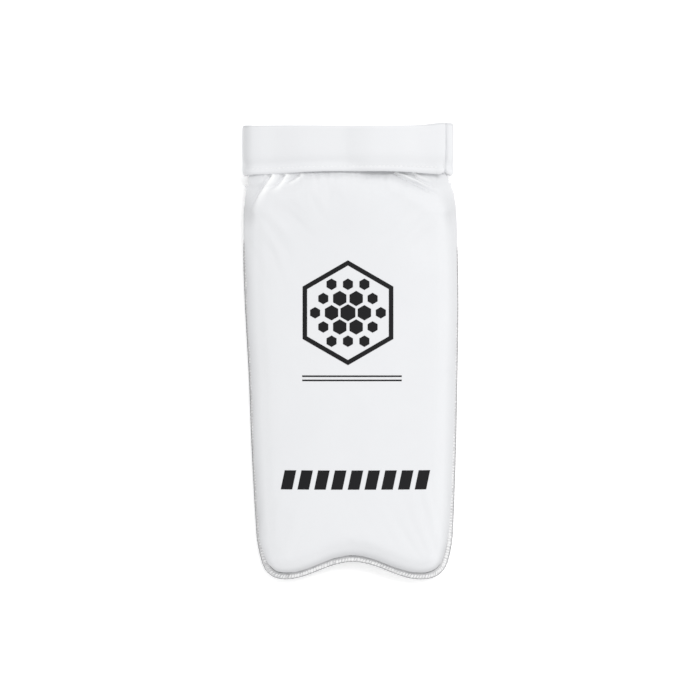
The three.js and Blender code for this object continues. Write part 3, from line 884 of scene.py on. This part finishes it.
printLook = {"ink": (0.006, 0.006, 0.007, 1), "rough": 0.6, "specular": 0.18}
printShape = {
    "film": 0.1 * mm, "gap": 0.1 * mm,
    "badge": (-1.6 * mm, 22.1 * mm), "ringRadius": 30 * mm, "ringWide": 3.0 * mm,
    "cellStep": 9.4 * mm, "cells": (4.9 * mm, 4.4 * mm, 3.3 * mm),
    "linesAt": (0.7 * mm, -15.4 * mm), "lineLong": 57 * mm, "lineWide": 0.9 * mm, "lineGap": 2.4 * mm,
    "barsAt": (2.7 * mm, -73.6 * mm), "bars": 9, "barStep": 9.6 * mm,
    "barWide": 6.6 * mm, "barTall": 11 * mm, "barLean": 0.21, "piece": 1.3 * mm,
}


def bar(made, centre, long, tall, lean=0.0, mitre=0.0, turn=0.0):  # a flat bar of small faces
    columns, rows = max(2, round(long / printShape["piece"])), max(2, round(tall / printShape["piece"]))
    grown = bmesh.ops.create_grid(made, x_segments=columns, y_segments=rows, size=0.5)["verts"]
    for vert in grown:
        x, y = vert.co.x * long, vert.co.y * tall
        x = x * (1 + mitre * vert.co.y) + lean * y
        spot = Matrix.Rotation(turn, 2) @ Vector((x, y))
        vert.co = Vector((centre[0] + spot.x, centre[1] + spot.y, 60 * mm))


def drawBadge(made):
    cx, cy = printShape["badge"]
    inner = printShape["ringRadius"] - printShape["ringWide"]
    middle = (inner + printShape["ringRadius"]) / 2
    for side in range(6):
        turn = math.radians(60 * side + 30)
        away = middle * math.cos(math.radians(30))
        bar(made, (cx - math.sin(turn) * away, cy + math.cos(turn) * away), middle,
            printShape["ringWide"] * math.cos(math.radians(30)), turn=turn,
            mitre=printShape["ringWide"] / middle)
    for q in range(-2, 3):
        for r in range(-2, 3):
            ring = max(abs(q), abs(r), abs(q + r))
            if ring > 2:
                continue
            x = printShape["cellStep"] * (q + r / 2)
            y = printShape["cellStep"] * r * math.sqrt(3) / 2
            where = Matrix.Translation((cx + x, cy + y, 60 * mm))
            bmesh.ops.create_circle(made, cap_ends=True, cap_tris=True, segments=6,
                                    radius=printShape["cells"][ring], matrix=where)


def buildPrints():
    made = bmesh.new()
    drawBadge(made)
    x, y = printShape["linesAt"]
    for shift in (-0.5, 0.5):
        bar(made, (x, y + shift * printShape["lineGap"]), printShape["lineLong"], printShape["lineWide"])
    x, y = printShape["barsAt"]
    for index in range(printShape["bars"]):
        across = (index - (printShape["bars"] - 1) / 2) * printShape["barStep"]
        bar(made, (x + across, y), printShape["barWide"], printShape["barTall"], lean=printShape["barLean"])
    tree = treeOf(cover)
    for vert in made.verts:
        vert.co = surfaceAt(tree, vert.co.x, vert.co.y) + up * printShape["gap"]
    ink = bpy.data.materials.new("printInk")
    ink.use_nodes = True
    shader = ink.node_tree.nodes["Principled BSDF"]
    shader.inputs["Base Color"].default_value = printLook["ink"]
    shader.inputs["Roughness"].default_value = printLook["rough"]
    shader.inputs["Specular IOR Level"].default_value = printLook["specular"]
    prints = pieceFrom("plain_prints", made, ink, "cover")
    film = prints.modifiers.new("film", "SOLIDIFY")
    film.thickness = printShape["film"]
    film.offset = -1
    applyModifiers(prints)
    prints.data.shade_flat()
    return prints


prints = buildPrints()
print("stage: prints", len(prints.data.polygons))


# closure

closureLook = {
    "clean": (0.7, 0.7, 0.69, 1), "handled": (0.6, 0.6, 0.59, 1), "patch": 90.0, "amount": 0.8,
    "threads": 3000.0, "grain": 2600.0, "weaveShare": 0.2, "bump": 0.9, "depth": 0.3 * mm,
    "rough": (0.75, 0.9), "specular": 0.2, "sheen": 0.4,
}
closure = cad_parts["closure_patch"]
closureCloth = clothMaterial("loopCloth", closureLook)
for index in range(len(closure.data.materials)):
    closure.data.materials[index] = closureCloth
if not closure.data.materials:
    closure.data.materials.append(closureCloth)


# camera, light and floor

viewSetup = {
    "distance": 2200 * mm, "reference": 14 * mm, "mmPerPixel": 0.575, "pixels": 700,
    "centre": (-0.43 * mm, 0.8 * mm),
}
camera = bpy.data.objects.new("camera", bpy.data.cameras.new("camera"))
bpy.context.collection.objects.link(camera)
camera.location = (*viewSetup["centre"], viewSetup["reference"] + viewSetup["distance"])
camera.data.sensor_width = 36
camera.data.lens = 36 * viewSetup["distance"] / (viewSetup["mmPerPixel"] * viewSetup["pixels"] * mm)
camera.data.clip_start, camera.data.clip_end = 0.05, 20
bpy.context.scene.camera = camera

lightSetup = {
    "sky": 0.985, "key": 0.9, "keyAngle": 20, "towards": (-0.4, -0.48, -1.0), "floor": 0.97, "glow": 0.18,
}
world = bpy.data.worlds.new("studio")
world.use_nodes = True
world.node_tree.nodes["Background"].inputs[0].default_value = (1, 1, 1, 1)
world.node_tree.nodes["Background"].inputs[1].default_value = lightSetup["sky"]
bpy.context.scene.world = world

key = bpy.data.objects.new("key", bpy.data.lights.new("key", "SUN"))
key.data.energy = lightSetup["key"]
key.data.angle = math.radians(lightSetup["keyAngle"])
key.rotation_euler = Vector(lightSetup["towards"]).to_track_quat("-Z", "Y").to_euler()
bpy.context.collection.objects.link(key)

floorMesh = bmesh.new()
bmesh.ops.create_grid(floorMesh, x_segments=1, y_segments=1, size=3)
floorData = bpy.data.meshes.new("floor")
floorMesh.to_mesh(floorData)
floorMesh.free()
floorPaint = bpy.data.materials.new("floorPaint")
floorPaint.use_nodes = True
floorShader = floorPaint.node_tree.nodes["Principled BSDF"]
floorShader.inputs["Base Color"].default_value = (lightSetup["floor"],) * 3 + (1,)
floorShader.inputs["Roughness"].default_value = 0.9
floorShader.inputs["Specular IOR Level"].default_value = 0.1
floorShader.inputs["Emission Color"].default_value = (1, 1, 1, 1)
floorShader.inputs["Emission Strength"].default_value = lightSetup["glow"]
floorData.materials.append(floorPaint)
floor = bpy.data.objects.new("floor", floorData)
floor.location.z = -0.3 * mm
bpy.context.collection.objects.link(floor)

bpy.context.scene.view_settings.view_transform = "Standard"
bpy.context.scene.view_settings.look = "None"
print("stage: studio")
